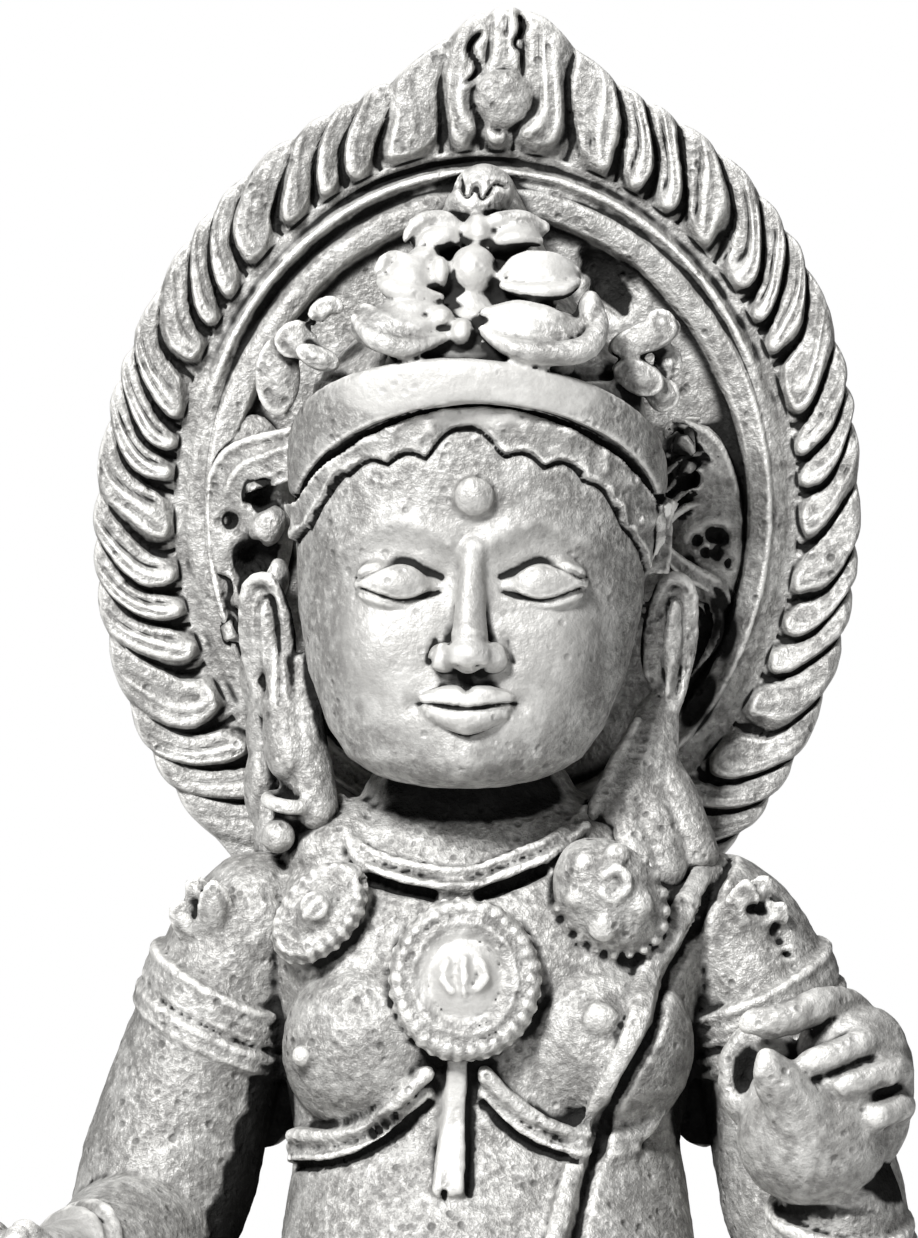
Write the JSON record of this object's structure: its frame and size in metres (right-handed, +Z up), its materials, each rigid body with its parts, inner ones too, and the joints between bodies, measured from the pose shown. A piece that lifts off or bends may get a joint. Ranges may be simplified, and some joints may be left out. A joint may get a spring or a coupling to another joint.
{
  "type": "kubera statue",
  "caption": "Seated bronze deity at ease before a flame-edged nimbus, one hand raised and one on its knee, on a low oval lotus base with a plinth.",
  "frame": {"origin": "middle of the plinth's underside", "axes": "+Z up, the figure faces -Y, +X towards the figure's left hand"},
  "size_m": [0.112, 0.09, 0.1782],
  "materials": {
    "figure_bronze": "aged cast bronze with dark recesses and worn bright ridges",
    "base_bronze": "aged cast bronze, darker and duller than the figure"
  },
  "bodies": {
    "root": {"figure_with_nimbus": "figure_bronze", "lotus_base": "base_bronze"}
  },
  "joints": []
}
